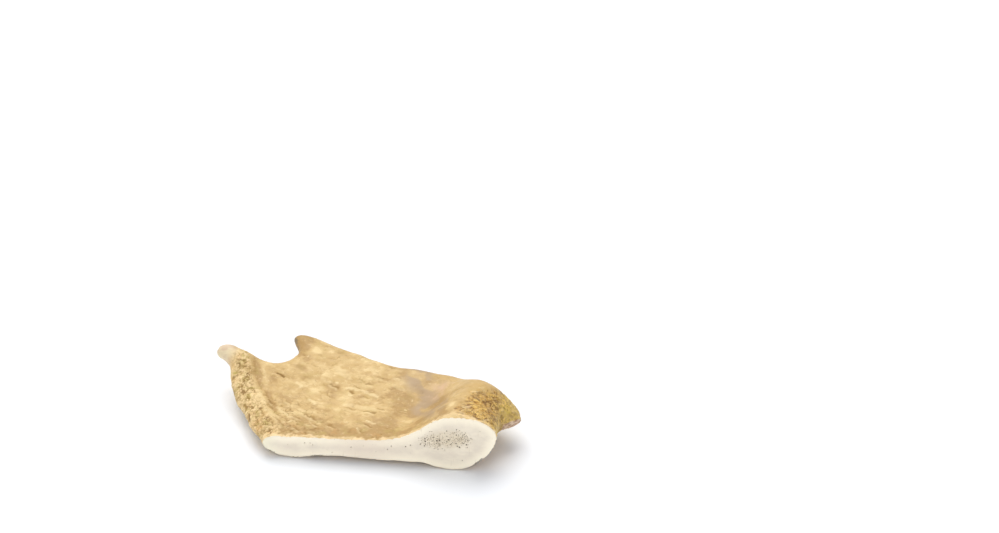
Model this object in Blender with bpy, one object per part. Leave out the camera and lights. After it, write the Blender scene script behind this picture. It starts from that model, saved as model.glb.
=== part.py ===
"""Deer antler piece: a slice sawn from the palm of an antler, lying on its belly.

The piece grew as one bone, so it is one solid. It has a plan outline, a height over that plan
for its upper side and another for its underside. The two sides meet in a rounded rim. Then two
saw cuts are taken off: the long front cut through palm and beam, and a small one on the spur.

Lengths here are in millimetres. X runs along the long saw cut, Y away from it and Z up, and
y = 0 is the plane of that cut. The finished mesh is in metres, with its origin under the middle
of its bounding box.
"""

import math

import bmesh
import bpy
import numpy as np
from mathutils import Matrix, Vector, noise
from mathutils.geometry import delaunay_2d_cdt

MM = 0.001

# Driving dimensions
PALM_TOP = 9.9  # top of the palm at the left end of the long cut
PALM_RISE = 1.1  # how much higher the palm is where it meets the beam
BACK_FALL = 1.4  # how much thinner the palm is at its back edge
FRONT_FALL = 0.6  # and along the long cut
BEAM_TOP = 22.8  # top of the beam where the long cut crosses it
PALM_RIM = 4.7  # how far in from the edge the palm's rim is rounded
LEFT_RIM = 8.0  # the same along the rolled left rim
BEAM_RIM = 10.5  # the same at the beam, which is nearly round
BACK_LIFT = 6.0  # how far the back edge of the palm curls up
GROUND_GAP = 0.5  # how far the underside clears the ground, away from its resting lumps
ARCH = 1.5  # how much more it clears the ground along the middle of the long cut
SPUR_DROP = 8.0  # how far the top of the beam falls towards the spur
RIM_TUCK = 1.3  # how far the underside is tucked up along the left rim
SAW_OVERRUN = 9.0  # bone in front of the long cut, which the saw takes off

# Plan outline, anticlockwise, starting in front of the long cut at its right end
OUTLINE = [
    (15.0, -SAW_OVERRUN), (16.0, 0.0), (15.9, 7.0),  # side of the beam
    (16.3, 13.0), (19.3, 15.4), (22.2, 17.2), (22.8, 20.4),  # spur
    (20.5, 26.0), (14.3, 30.5), (6.3, 33.8), (-1.4, 38.4),  # shoulder of the beam
    (-9.2, 41.5), (-18.8, 43.1), (-29.7, 45.3), (-42.0, 49.9), (-54.5, 56.1),  # back edge
    (-63.9, 58.2), (-70.1, 57.3), (-67.4, 53.1), (-65.7, 48.1), (-69.3, 42.9),  # inner tine
    (-74.6, 41.6), (-78.4, 43.7),  # notch between the tines
    (-84.4, 44.7), (-89.9, 46.4), (-95.3, 44.4), (-95.2, 41.3), (-91.0, 39.5),  # outer tine
    (-87.9, 34.8), (-86.7, 27.6), (-81.2, 17.8), (-78.8, 13.0), (-75.8, 8.2),  # left rim
    (-69.1, -0.5), (-64.5, -SAW_OVERRUN),
]

# Round swellings and hollows: x, y, radius and height
SADDLE = (-13.0, 38.0, 18.0, 2.9)  # behind the hollow, where the palm joins the beam
HOLLOW = (-12.5, 20.0, 13.0, -1.8)  # beside the beam
ROOT = (-19.5, 0.0, 10.0, 1.5)  # where the long cut climbs from the palm to the beam
OUTER_TINE_CURL = (-96.0, 44.0, 22.0, 4.0)
INNER_TINE_CURL = (-69.0, 59.0, 18.0, 2.5)

# Rolled left rim, from the tine to the long cut: the crest of the roll and the groove beside it
RIM_CREST = [(-83.6, 41.0), (-79.8, 34.0), (-76.4, 24.0), (-72.6, 17.0), (-67.6, 9.0)]
RIM_CREST_SIZE = (3.2, 1.0)  # width and height
RIM_GROOVE = [(-79.5, 42.0), (-76.4, 35.4), (-73.2, 27.0), (-69.6, 18.7), (-64.5, 10.5)]
RIM_GROOVE_SIZE = (2.2, -0.9)

# Lumps that the piece rests on: x, y, radius, and how far each one dips below z = 0
RESTING_LUMPS = [
    (-2.0, 1.0, 9.0, 0.56),
    (3.0, 24.0, 9.0, 0.63),
    (-50.0, 32.0, 12.0, 0.62),
    (-58.0, 6.0, 9.0, 0.71),
]

# Saw cuts: a point on the cut face, the way the face looks, and the size of the cutter
LONG_CUT = ((-30.0, 0.0, 12.0), (0.0, -1.0, 0.0), (140.0, 60.0, 40.0))
SPUR_CUT = ((19.6, 18.9, 8.4), (0.50, -0.68, -0.54), (11.0, 11.0, 8.0))

# Bark relief
GRAIN_TURN = math.radians(14.0)  # the gutters run from the beam to the tines
GUTTER_SIZE = (26.0, 5.5, 9.0)  # along the grain, across it and up
GUTTER_HEIGHT = 0.38
LUMP_SIZE = 8.0
LUMP_HEIGHT = 0.30
PEARL_SIZE = 3.4
PEARL_HEIGHT = 0.55
PEARLED_BEAM = (12.0, 12.0, 22.0, 1.0)  # the right side of the beam is pearled
PEARLED_RIM_WIDTH = 11.0  # and so is the left rim, this far in

# Fineness of the mesh
OUTLINE_STEP = 1.6
RIM_ANGLES = (24.0, 47.0, 69.0, 90.0)  # rings of points that carry the rounding of the rim
RING_GAP = 0.75  # points of the rings are at least this far apart
GRID_STEP = 2.0
SMOOTHING_ROUNDS = 2
SHARP_ANGLE = math.radians(38.0)

COLOUR = (0.72, 0.53, 0.29, 1.0)
ROUGHNESS = 0.55


def ease(t):
    """Smooth step from 0 to 1."""
    t = np.clip(t, 0.0, 1.0)
    return t * t * (3.0 - 2.0 * t)


def swelling(x, y, feature):
    """Height of a round swelling, or of a hollow if it is negative."""
    centre_x, centre_y, radius, height = feature
    return height * (1.0 - ease(np.hypot(x - centre_x, y - centre_y) / radius))


def distance_to_path(points, path):
    """Distance in plan from each point to a path of straight pieces."""
    start, along = path[:-1], path[1:] - path[:-1]
    offset = points[:, None, :] - start[None]
    share = np.clip((offset * along).sum(2) / (along**2).sum(1), 0.0, 1.0)
    return np.linalg.norm(offset - share[..., None] * along, axis=2).min(1)


def ridge(x, y, path, size):
    """Height of a soft ridge along a path in plan, or of a groove if it is negative."""
    width, height = size
    distance = distance_to_path(np.column_stack([x, y]), np.array(path))
    return height * np.exp(-((distance / width) ** 2))


def beam_share(x, y):
    """1 on the beam, 0 on the palm."""
    start = -22.5 + 0.25 * y
    return ease((x - start) / 22.0) * (1.0 - 0.12 * ease((y - 8.0) / 26.0))


def lift(x, y):
    """How far the middle of the bone is curled up off the ground."""
    back = BACK_LIFT * ease((y - 20.0) / 30.0) * (1.0 - 0.75 * ease((x + 40.0) / 40.0))
    return back + swelling(x, y, OUTER_TINE_CURL) + swelling(x, y, INNER_TINE_CURL)


def top_height(x, y):
    """Upper side before the rim is rounded."""
    palm = PALM_TOP + PALM_RISE * ease((x + 50.0) / 26.0)
    palm = palm - BACK_FALL * ease((y - 25.0) / 30.0) - FRONT_FALL * (1.0 - ease(y / 14.0))
    beam = (BEAM_TOP + FRONT_FALL - PALM_TOP - PALM_RISE) * beam_share(x, y)
    spur = -SPUR_DROP * ease((x - 7.0) / 16.0) * ease((y - 4.0) / 16.0)
    rolled_rim = ridge(x, y, RIM_CREST, RIM_CREST_SIZE) + ridge(x, y, RIM_GROOVE, RIM_GROOVE_SIZE)
    swellings = sum(swelling(x, y, feature) for feature in (SADDLE, HOLLOW, ROOT))
    return palm + beam + spur + rolled_rim + swellings + lift(x, y)


def underside_height(x, y):
    """Underside before the rim is rounded."""
    along_cut = ease((x + 62.0) / 20.0) * (1.0 - ease((x + 10.4) / 3.4))
    height = GROUND_GAP + ARCH * along_cut * (1.0 - ease(y / 20.0)) + lift(x, y)
    for centre_x, centre_y, radius, dip in RESTING_LUMPS:
        height = height - (height + dip) * swelling(x, y, (centre_x, centre_y, radius, 1.0))
    beam_side = 0.026 * np.clip(x, 0.0, 16.0) ** 2 * (1.0 - 0.5 * ease((y - 8.0) / 10.0))
    return height + beam_side + RIM_TUCK * ease((-61.0 - x) / 12.0)


def rim_reach(x, y):
    """How far in from the edge the rounding goes."""
    beam = (BEAM_RIM - PALM_RIM) * ease(beam_share(x, y) / 0.6)
    left = (LEFT_RIM - PALM_RIM) * ease(swelling(x, y, (-78.0, 12.0, 26.0, 1.6)))
    return PALM_RIM + beam + left


def smooth_closed_curve(points, step):
    """Evenly spaced points on a closed Catmull-Rom curve through the given points."""
    points = np.array(points, float)
    count = len(points)
    t = np.linspace(0.0, 1.0, 24, endpoint=False)[:, None]
    curve = []
    for i in range(count):
        a, b, c, d = (points[(i + k) % count] for k in (-1, 0, 1, 2))
        bend = (2 * a - 5 * b + 4 * c - d) * t**2 + (3 * b - a - 3 * c + d) * t**3
        curve.append(b + 0.5 * ((c - a) * t + bend))
    curve = np.concatenate(curve + [curve[0][:1]])
    lengths = np.concatenate([[0.0], np.cumsum(np.linalg.norm(np.diff(curve, axis=0), axis=1))])
    wanted = np.linspace(0.0, lengths[-1], round(lengths[-1] / step), endpoint=False)
    return np.column_stack([np.interp(wanted, lengths, curve[:, k]) for k in (0, 1)])


def distance_to_loop(points, loop):
    """Distance in plan from each point to a closed loop."""
    return distance_to_path(points, np.concatenate([loop, loop[:1]]))


def inside_loop(points, loop):
    """True for each point that a closed loop goes round."""
    x, y = points[:, 0, None], points[:, 1, None]
    x0, y0 = loop[:, 0], loop[:, 1]
    x1, y1 = np.roll(x0, -1), np.roll(y0, -1)
    with np.errstate(divide="ignore", invalid="ignore"):
        crosses = ((y0 > y) != (y1 > y)) & (x < (x1 - x0) * (y - y0) / (y1 - y0) + x0)
    return crosses.sum(1) % 2 == 1


def rim_points(loop):
    """Rings of points inside the outline, closer together towards the edge."""
    tangent = np.roll(loop, -1, axis=0) - np.roll(loop, 1, axis=0)
    inward = np.column_stack([-tangent[:, 1], tangent[:, 0]])
    inward /= np.linalg.norm(inward, axis=1)[:, None]
    reach = rim_reach(loop[:, 0], loop[:, 1])
    kept = []
    for angle in RIM_ANGLES:
        depth = reach * (1.0 - math.cos(math.radians(angle)))
        ring = loop + inward * depth[:, None]
        clear = inside_loop(ring, loop) & (distance_to_loop(ring, loop) > 0.93 * depth)
        for point in ring[clear]:
            if not kept or np.linalg.norm(np.array(kept) - point, axis=1).min() > RING_GAP:
                kept.append(point)
    return np.array(kept)


def middle_points(loop, rings):
    """Grid of points inside the rings."""
    low, high = loop.min(0), loop.max(0)
    grid = []
    for row, y in enumerate(np.arange(low[1], high[1], GRID_STEP * math.sqrt(0.75))):
        shift = 0.5 * GRID_STEP * (row % 2)
        grid += [(x + shift, y) for x in np.arange(low[0], high[0], GRID_STEP)]
    grid = np.array(grid)
    grid = grid[inside_loop(grid, loop)]
    reach = rim_reach(grid[:, 0], grid[:, 1])
    grid = grid[distance_to_loop(grid, loop) > reach + 0.4 * GRID_STEP]
    apart = np.linalg.norm(grid[:, None] - rings[None], axis=2).min(1) > 0.55 * GRID_STEP
    return grid[apart]


def unsawn_bone():
    """Closed mesh of the piece before sawing."""
    loop = smooth_closed_curve(OUTLINE, OUTLINE_STEP)
    rings = rim_points(loop)
    points = np.concatenate([loop, rings, middle_points(loop, rings)])
    rim_count = len(loop)
    edges = [(i, (i + 1) % rim_count) for i in range(rim_count)]
    laid = delaunay_2d_cdt([Vector(p) for p in points], edges, [list(range(rim_count))], 1, 1e-6)
    points, triangles = np.array([tuple(p) for p in laid[0]]), laid[2]

    x, y = points[:, 0], points[:, 1]
    depth = distance_to_loop(points, loop)
    depth[:rim_count] = 0.0
    share = np.clip(depth / rim_reach(x, y), 0.0, 1.0)
    rounding = np.sqrt(1.0 - (1.0 - share) ** 2)
    top, under = top_height(x, y), underside_height(x, y)
    middle, half = (top + under) / 2.0, (top - under) / 2.0

    bone = bmesh.new()
    upper = [bone.verts.new(p) for p in zip(x, y, middle + half * rounding)]
    below = list(zip(x, y, middle - half * rounding))[rim_count:]
    lower = upper[:rim_count] + [bone.verts.new(p) for p in below]
    for a, b, c in triangles:
        bone.faces.new((upper[a], upper[b], upper[c]))
        bone.faces.new((lower[c], lower[b], lower[a]))
    for _ in range(SMOOTHING_ROUNDS):
        bmesh.ops.smooth_vert(
            bone, verts=bone.verts, factor=0.5, use_axis_x=True, use_axis_y=True, use_axis_z=True
        )
    bone.normal_update()
    return bone


def gutters(x, y, z):
    """Long shallow waves along the grain, from -1 to 1."""
    along = x * math.cos(GRAIN_TURN) - y * math.sin(GRAIN_TURN)
    across = x * math.sin(GRAIN_TURN) + y * math.cos(GRAIN_TURN)
    return noise.noise([a / b for a, b in zip((along, across, z), GUTTER_SIZE)])


def pearls(x, y, z, pearled):
    """Close-set round grains, where the bark is pearled."""
    distances, _ = noise.voronoi(Vector((x, y, z)) / PEARL_SIZE)
    return (0.45 - distances[0]) * pearled


def roughen(bone):
    """Raises the gutters, lumps and pearls of the bark."""
    places = np.array([tuple(v.co) for v in bone.verts])
    x, y = places[:, 0], places[:, 1]
    left_edge = np.array([p for p in OUTLINE if p[0] < -64.0 and p[1] < 40.0])
    from_left = distance_to_path(places[:, :2], left_edge)
    left = 1.0 - ease((from_left - PEARLED_RIM_WIDTH + 3.0) / 3.0)
    pearled = np.maximum(left, swelling(x, y, PEARLED_BEAM))
    normals = [v.normal.copy() for v in bone.verts]
    for vertex, normal, share in zip(bone.verts, normals, pearled):
        place = tuple(vertex.co)
        lumps = noise.noise(vertex.co / LUMP_SIZE)
        height = GUTTER_HEIGHT * gutters(*place) + LUMP_HEIGHT * lumps
        vertex.co += normal * (height + PEARL_HEIGHT * pearls(*place, float(share)))


def saw_off(piece, name, cut):
    """Takes off what is in front of a cut face. The cutter stays as a guide that isn't rendered."""
    point, facing, size = cut
    facing = Vector(facing).normalized()
    shape = bmesh.new()
    bmesh.ops.create_cube(shape, size=1.0)
    bmesh.ops.scale(shape, vec=Vector(size) * MM, verts=shape.verts)
    mesh = bpy.data.meshes.new(name)
    shape.to_mesh(mesh)
    shape.free()
    cutter = bpy.data.objects.new(name, mesh)
    cutter.location = (Vector(point) + facing * size[2] / 2.0) * MM
    cutter.rotation_mode = "QUATERNION"
    cutter.rotation_quaternion = facing.to_track_quat("Z", "Y")
    cutter.hide_render = True
    cutter.display_type = "WIRE"
    bpy.context.scene.collection.objects.link(cutter)

    stroke = piece.modifiers.new(name, "BOOLEAN")
    stroke.operation = "DIFFERENCE"
    stroke.solver = "EXACT"
    stroke.object = cutter
    bpy.context.view_layer.update()
    graph = bpy.context.evaluated_depsgraph_get()
    piece.data = bpy.data.meshes.new_from_object(piece.evaluated_get(graph))
    piece.modifiers.clear()


def centre_on_ground(piece):
    """Moves the mesh so that the middle of its footprint is the origin and it stands on z = 0."""
    places = np.array([tuple(v.co) for v in piece.data.vertices])
    low, high = places.min(0), places.max(0)
    shift = Vector((-(low[0] + high[0]) / 2.0, -(low[1] + high[1]) / 2.0, -low[2]))
    piece.data.transform(Matrix.Translation(shift))
    print("origin shift, mm:", [round(v / MM, 3) for v in shift])


def bone_material():
    """Tan bone, half polished."""
    material = bpy.data.materials.new("antler_bone")
    material.use_nodes = True
    shader = material.node_tree.nodes["Principled BSDF"]
    shader.inputs["Base Color"].default_value = COLOUR
    shader.inputs["Roughness"].default_value = ROUGHNESS
    shader.inputs["Metallic"].default_value = 0.0
    return material


def make_antler():
    """The one piece: grown, sawn and set down."""
    bone = unsawn_bone()
    roughen(bone)
    bmesh.ops.scale(bone, vec=Vector((MM, MM, MM)), verts=bone.verts)
    mesh = bpy.data.meshes.new("antler")
    bone.to_mesh(mesh)
    bone.free()
    antler = bpy.data.objects.new("antler", mesh)
    bpy.context.scene.collection.objects.link(antler)
    saw_off(antler, "long_saw", LONG_CUT)
    saw_off(antler, "spur_saw", SPUR_CUT)
    centre_on_ground(antler)
    antler.data.materials.clear()
    antler.data.materials.append(bone_material())
    antler.data.shade_smooth()
    antler.data.set_sharp_from_angle(angle=SHARP_ANGLE)


for leftover in list(bpy.data.objects):
    bpy.data.objects.remove(leftover)
make_antler()
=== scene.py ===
import math

import bmesh
import bpy
import numpy as np
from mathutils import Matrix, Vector, noise
from mathutils.geometry import delaunay_2d_cdt


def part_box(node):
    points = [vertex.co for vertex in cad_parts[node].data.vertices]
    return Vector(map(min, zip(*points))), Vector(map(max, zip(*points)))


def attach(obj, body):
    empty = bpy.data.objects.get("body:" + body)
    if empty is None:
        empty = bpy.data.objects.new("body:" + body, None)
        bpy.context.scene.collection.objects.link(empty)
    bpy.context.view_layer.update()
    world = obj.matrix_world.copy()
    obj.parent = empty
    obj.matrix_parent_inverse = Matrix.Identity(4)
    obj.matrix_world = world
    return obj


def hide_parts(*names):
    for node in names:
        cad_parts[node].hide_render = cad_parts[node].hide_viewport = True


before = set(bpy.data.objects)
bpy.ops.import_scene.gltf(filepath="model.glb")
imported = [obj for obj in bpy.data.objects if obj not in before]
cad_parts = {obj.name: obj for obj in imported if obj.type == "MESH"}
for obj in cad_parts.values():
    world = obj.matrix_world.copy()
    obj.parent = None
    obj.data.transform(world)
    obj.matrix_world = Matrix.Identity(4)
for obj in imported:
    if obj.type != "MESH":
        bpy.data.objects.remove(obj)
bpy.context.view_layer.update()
mm = 0.001

# shapes are worked out in the mm that the piece was drawn in: the long saw cut is the plane y = 0,
# its contact with the ground at the beam is x = 0, and the bone's lowest corner is drawnLow
drawnLow = np.array([-95.29, 0.0, -0.339])
groundHeight = drawnLow[2]
drawingToFrame = np.array(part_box("antler")[0]) / mm - drawnLow


def toFrame(places):
    # mm in the drawing to metres in the frame
    return (np.asarray(places, float) + drawingToFrame) * mm


def ease(t):
    t = np.clip(t, 0.0, 1.0)
    return t * t * (3.0 - 2.0 * t)


def fade(t):
    return 1.0 - ease(t)


def tint(red, green, blue):
    # a colour as a paint program gives it, 0 to 255, as the linear colour that a shader takes
    shares = np.array([red, green, blue]) / 255.0
    linear = np.where(shares <= 0.04045, shares / 12.92, ((shares + 0.055) / 1.055) ** 2.4)
    return (*linear.tolist(), 1.0)


def newObject(name, data):
    made = bpy.data.objects.new(name, data)
    bpy.context.scene.collection.objects.link(made)
    return made


cameraSettings = {
    "lens": 85,
    "sensorWidth": 36,
    "clip": (0.02, 20),  # metres
    "place": (100.66, -671.57, 505.47),  # mm in the drawing
    "azimuth": 7.14,  # of the way that the camera looks
    "elevation": 31.75,
}


def makeCamera(s):
    data = bpy.data.cameras.new("photoCamera")
    data.lens = s["lens"]
    data.sensor_width = s["sensorWidth"]
    data.clip_start, data.clip_end = s["clip"]
    camera = newObject("photoCamera", data)
    camera.location = toFrame(s["place"])
    camera.rotation_euler = (math.radians(90.0 - s["elevation"]), 0.0, math.radians(s["azimuth"]))
    bpy.context.scene.camera = camera


makeCamera(cameraSettings)
print("camera is set")


# the bone's own places and sizes, in mm
boneShape = {
    "weld": 0.02,  # corners of the solid that are closer than that become one
    "voxel": 0.41,  # fineness of the bark's mesh
    "softening": (8, 26),  # rounds that take off the flat facets, and that give back the width
    "seed": 5,
    "rimSwell": (-86.4, 33, 11, 7, 1.4),  # x, y, z, how far it reaches and how much it swells
    "upperSide": 6.0,  # height from which the marks of the upper side show
    "sharpAngle": math.radians(50.0),
}
sawCuts = {
    "long": {
        "point": (0, 0, 0),
        "facing": (0, -1, 0),
        "across": (1, 0, 0),
        "reach": 500,  # how far from the point the saw goes
        "slack": 0.03,  # how far off the plane still counts as on it
        "runOn": 3,  # how far the bone is run on before it is sawn again
        "leastLean": 0.6,  # keeps the bark from running on too steeply
        "leanRounds": 4,  # rounds that even its slope out along the rim
        "weld": 0.1,  # corners of the sawn rim that are closer than that become one
        "bevel": 0.15,  # worn edge between bark and cut
        "step": 0.45,  # fineness of the face
    },
    "spur": {
        "point": (19.6, 18.9, 8.4),
        "facing": (0.5, -0.68, -0.54),
        "across": (0.68, 0.5, 0),
        "reach": 8,
        "slack": 0.03,
        "depth": 1.2,  # how far off its plane the bark is pressed flat onto it
    },
}


def inOrder(items):
    # each item once, in the order that it came, so that every run gives the same mesh
    return dict.fromkeys(items)


def unit(values):
    return Vector(values).normalized()


def cutFaces(bm, cut):
    # the faces that lie on a cut
    point, facing = Vector(cut["point"]), unit(cut["facing"])

    def onCut(offset):
        return abs(offset.dot(facing)) < cut["slack"] and offset.length < cut["reach"]

    return [f for f in bm.faces if all(onCut(v.co - point) for v in f.verts)]


def seenSquare(points, cut):
    # places across and up the cut's plane, and how far each stands off it
    facing, across = unit(cut["facing"]), unit(cut["across"])
    offset = np.asarray(points, float) - cut["point"]
    return np.column_stack([offset @ across, offset @ facing.cross(across)]), offset @ facing


def bareBone():
    # the CAD bone as one welded mesh, in drawing mm
    bm = bmesh.new()
    bm.from_mesh(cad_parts["antler"].data)
    for vert in bm.verts:
        vert.co = Vector(np.array(vert.co) / mm - drawingToFrame)
    bmesh.ops.remove_doubles(bm, verts=bm.verts, dist=boneShape["weld"])
    return bm


def runPastCut(bm, cut):
    # takes a cut's face off and runs the bone on past it, to be sawn through fresh relief
    facing = unit(cut["facing"])
    flat = cutFaces(bm, cut)
    bmesh.ops.delete(bm, geom=flat, context="FACES")
    bm.normal_update()
    rim = [e for e in bm.edges if e.is_boundary]
    slope = {}
    for vert in inOrder(v for e in rim for v in e.verts):
        lean = facing - vert.normal * facing.dot(vert.normal)
        slope[vert] = lean / max(lean.dot(facing), cut["leastLean"])
    beside = {v: [e.other_vert(v) for e in v.link_edges if e.is_boundary] for v in slope}
    for _ in range(cut["leanRounds"]):
        slope = {v: (slope[v] + sum((slope[o] for o in others), Vector())) / (1 + len(others))
                 for v, others in beside.items()}
    grown = bmesh.ops.extrude_edge_only(bm, edges=rim)["geom"]
    for vert in [g for g in grown if isinstance(g, bmesh.types.BMVert)]:
        source = next(e.other_vert(vert) for e in vert.link_edges if e.other_vert(vert) in slope)
        vert.co = source.co + slope[source] * cut["runOn"]
    bmesh.ops.holes_fill(bm, edges=[e for e in bm.edges if e.is_boundary], sides=0)
    print("ran on past a cut of", len(flat), "faces and", len(rim), "edges")


def orderedLoops(edges):
    # the vertices of open edges, one after another, the longest loop last
    waiting = inOrder(edges)
    loops = []
    while waiting:
        step = next(iter(waiting))
        loop = [step.verts[0]]
        while step is not None:
            del waiting[step]
            loop.append(step.other_vert(loop[-1]))
            step = next((e for e in loop[-1].link_edges if e in waiting), None)
        loops.append(loop[:-1] if loop[0] is loop[-1] else loop)
    return sorted(loops, key=len)


def cutOutline(bm, cut):
    # the outline of a small cut's face, seen square on
    flat = inOrder(cutFaces(bm, cut))
    rim = [e for f in flat for e in f.edges if sum(g in flat for g in e.link_faces) == 1]
    return seenSquare([v.co for v in orderedLoops(rim)[-1]], cut)[0]


def remeshed(bm, voxel):
    # evenly sized quads over the whole shape
    bmesh.ops.recalc_face_normals(bm, faces=bm.faces)
    mesh = bpy.data.meshes.new("remeshHelper")
    bm.to_mesh(mesh)
    bm.free()
    helper = newObject("remeshHelper", mesh)
    even = helper.modifiers.new("even", "REMESH")
    even.mode = "VOXEL"
    even.voxel_size = voxel
    bpy.context.view_layer.update()
    graph = bpy.context.evaluated_depsgraph_get()
    result = bpy.data.meshes.new_from_object(helper.evaluated_get(graph))
    bpy.data.objects.remove(helper)
    return result


def readNumbers(items, name, width, kind=float):
    values = np.zeros(len(items) * width, kind)
    items.foreach_get(name, values)
    return values.reshape(-1, width)


def readMesh(mesh):
    return readNumbers(mesh.vertices, "co", 3), readNumbers(mesh.edges, "vertices", 2, np.int64)


def facingOf(mesh):
    return readNumbers(mesh.vertices, "normal", 3)


def writeMesh(mesh, places):
    mesh.vertices.foreach_set("co", places.astype(np.float32).ravel())
    mesh.update()


def keep(mesh, name, values):
    # a number for each vertex, for the materials to read
    layer = mesh.attributes.get(name) or mesh.attributes.new(name, "FLOAT", "POINT")
    layer.data.foreach_set("value", np.asarray(values, np.float32))


def softened(values, edges, rounds):
    # each round moves every vertex halfway to the middle of its neighbours
    size = len(values)
    count = np.bincount(edges.ravel(), minlength=size)
    for _ in range(rounds):
        around = np.column_stack([
            np.bincount(edges[:, 0], column[edges[:, 1]], size)
            + np.bincount(edges[:, 1], column[edges[:, 0]], size)
            for column in values.T
        ])
        values = 0.5 * values + 0.5 * around / count[:, None]
    return values


bone = bareBone()
spurOutline = cutOutline(bone, sawCuts["spur"])
runPastCut(bone, sawCuts["long"])
barkMesh = remeshed(bone, boneShape["voxel"])
places, edges = readMesh(barkMesh)
softRounds, backRounds = boneShape["softening"]
soft = softened(places, edges, softRounds)
places = soft + softened(places - soft, edges, backRounds)
writeMesh(barkMesh, places)
*swellMiddle, swellReach, swell = boneShape["rimSwell"]
swelling = fade(np.linalg.norm(places - swellMiddle, axis=1) / swellReach)
places[:, 0] += swell * swelling * np.minimum(facingOf(barkMesh)[:, 0], 0.0)
writeMesh(barkMesh, places)
print("bark is remeshed:", len(places), "vertices")


# where each kind of bark grows, in drawing mm
barkZones = {
    # edge of the pearled band along the left rim
    "crease": [
        (-57.5, 0), (-61.2, 5.3), (-66.9, 13.2), (-70, 18.7),
        (-74.1, 28.2), (-76.8, 35.7), (-79.5, 43.3),
    ],
    "slits": [
        [(-70.8, 34.4), (-69.2, 33.8), (-67.8, 32.8)],
        [(-77.2, 13.6), (-76.9, 12), (-76.4, 10.6)],
    ],
    # degrees that the grain turns down, more beside the crease, and how far from it that fades
    "grain": (9, 52, 14),
    "outerTip": (-95.5, 43, 10.5),  # x, y, radius
    # the inner tine's end and the left flank of its tip take painted shade
    "shadedInnerTip": (-69.5, 57, 5.5),
    "innerTine": (-66.5, 52, 9),
    # painted highlight on the beam's left shoulder beside the cut
    "shoulder": (-5.5, 7, 8),
    "frontDark": (-27, 8, 13),
    "shadedFlank": [(-70.4, 57.6), (-68.2, 53.6), (-67.2, 50.6)],
    "greyHollow": [(-20, 41), (-14.5, 28), (-12.5, 20.5), (-8, 13)],
    "greyWidth": 8,
    "flank": (-3, 22, 19),
    # darker and paler places: x, y, radius and how much; olive smudges at the left, and at x -6 to
    # -1 painted shade at the beam's foot and a painted highlight on its crest
    "smudgesAndPaintedLight": [
        (-68, 8, 2.4, -0.5), (-62.2, 5.4, 2.4, -0.5), (-71.6, 6, 2, -0.5),
        (-70.6, 12, 2.4, -0.5), (7.4, 13.8, 2.6, -0.5), (-22, 25, 9.5, -0.45),
        (-23, 17.5, 6, -0.35), (-1.8, 16, 5, 0.18), (-8.8, 21.5, 5, -0.4),
        (-16.5, 17, 4.5, -0.45), (-12, 9.5, 4, -0.3), (-19.5, 30, 3.8, 0.35),
        (-7.5, 16.5, 4.5, -0.35), (-5, 8, 3.2, -0.8), (-4.4, 4.4, 2.6, -0.8),
        (-5.6, 14, 3, -0.45), (-1.2, 8.5, 3, 0.35), (-2.6, 25, 4.5, 0.2),
        (-14, 33.5, 4, -0.35), (-20.5, 6.5, 4.5, 0.4),
    ],
    "smoothSpots": [(-70.9, 12.5, 3.4), (-74.2, 21.5, 2.8)],  # bare places in the pearled band
    "paleBeam": (9.5, 3, 6.5),
    "darkBeam": (8.8, 12.5, 5.5),
    "rosyHollow": (-9.5, 28, 7),
}


def pathDistance(points, path):
    # from each place to the nearest point of a path
    path = np.array(path, float)
    start, along = path[:-1], path[1:] - path[:-1]
    offset = points[:, None, :] - start[None]
    share = np.clip((offset * along).sum(2) / (along**2).sum(1), 0.0, 1.0)
    return np.linalg.norm(offset - share[..., None] * along, axis=2).min(1)


def insideLoop(points, loop):
    # whether each place is inside a closed outline
    x, y = points[:, 0, None], points[:, 1, None]
    x0, y0 = loop[:, 0], loop[:, 1]
    x1, y1 = np.roll(x0, -1), np.roll(y0, -1)
    with np.errstate(divide="ignore", invalid="ignore"):
        crosses = ((y0 > y) != (y1 > y)) & (x < (x1 - x0) * (y - y0) / (y1 - y0) + x0)
    return crosses.sum(1) % 2 == 1


def loopDistance(points, loop):
    # from each place to a closed outline, in parts to save memory
    closed = np.concatenate([loop, loop[:1]])
    parts = np.array_split(points, 1 + len(points) // 500)
    return np.concatenate([pathDistance(part, closed) for part in parts])


def onSpurCut(points):
    # whether each place is on the small cut's face, and how far it stands off its plane
    square, off = seenSquare(points, sawCuts["spur"])
    beside = np.abs(off) < sawCuts["spur"]["depth"]
    beside &= np.abs(square).max(1) < sawCuts["spur"]["reach"]
    inside = np.zeros(len(points), bool)
    inside[beside] = insideLoop(square[beside], spurOutline)
    return inside, off


def patch(points, middle, firm):
    # 1 over the firm share of a round patch's radius, seen in plan, and 0 outside the patch
    x, y, radius = middle
    distance = np.hypot(points[:, 0] - x, points[:, 1] - y)
    return fade((distance / radius - firm) / (1.0 - firm))


def bell(values, middle, width):
    # 1 in the middle, less on both sides
    return np.exp(-((values - middle) / width) ** 2)


def turnedBy(x, y, turn):
    return x * math.cos(turn) - y * math.sin(turn), x * math.sin(turn) + y * math.cos(turn)


def field(points, size, seed, octaves=1):
    # soft noise, about -1 to 1, with waves of that size in mm
    scaled = (points / np.array(size) + seed).tolist()
    if octaves == 1:
        return np.array([noise.noise(p) for p in scaled])
    return np.array([noise.fractal(p, 0.8, 2.1, octaves) for p in scaled])


def wavering(points, size, seeds, octaves=1):
    # soft noise of its own for each axis
    return np.column_stack([field(points, size, seed, octaves) for seed in seeds])


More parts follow.
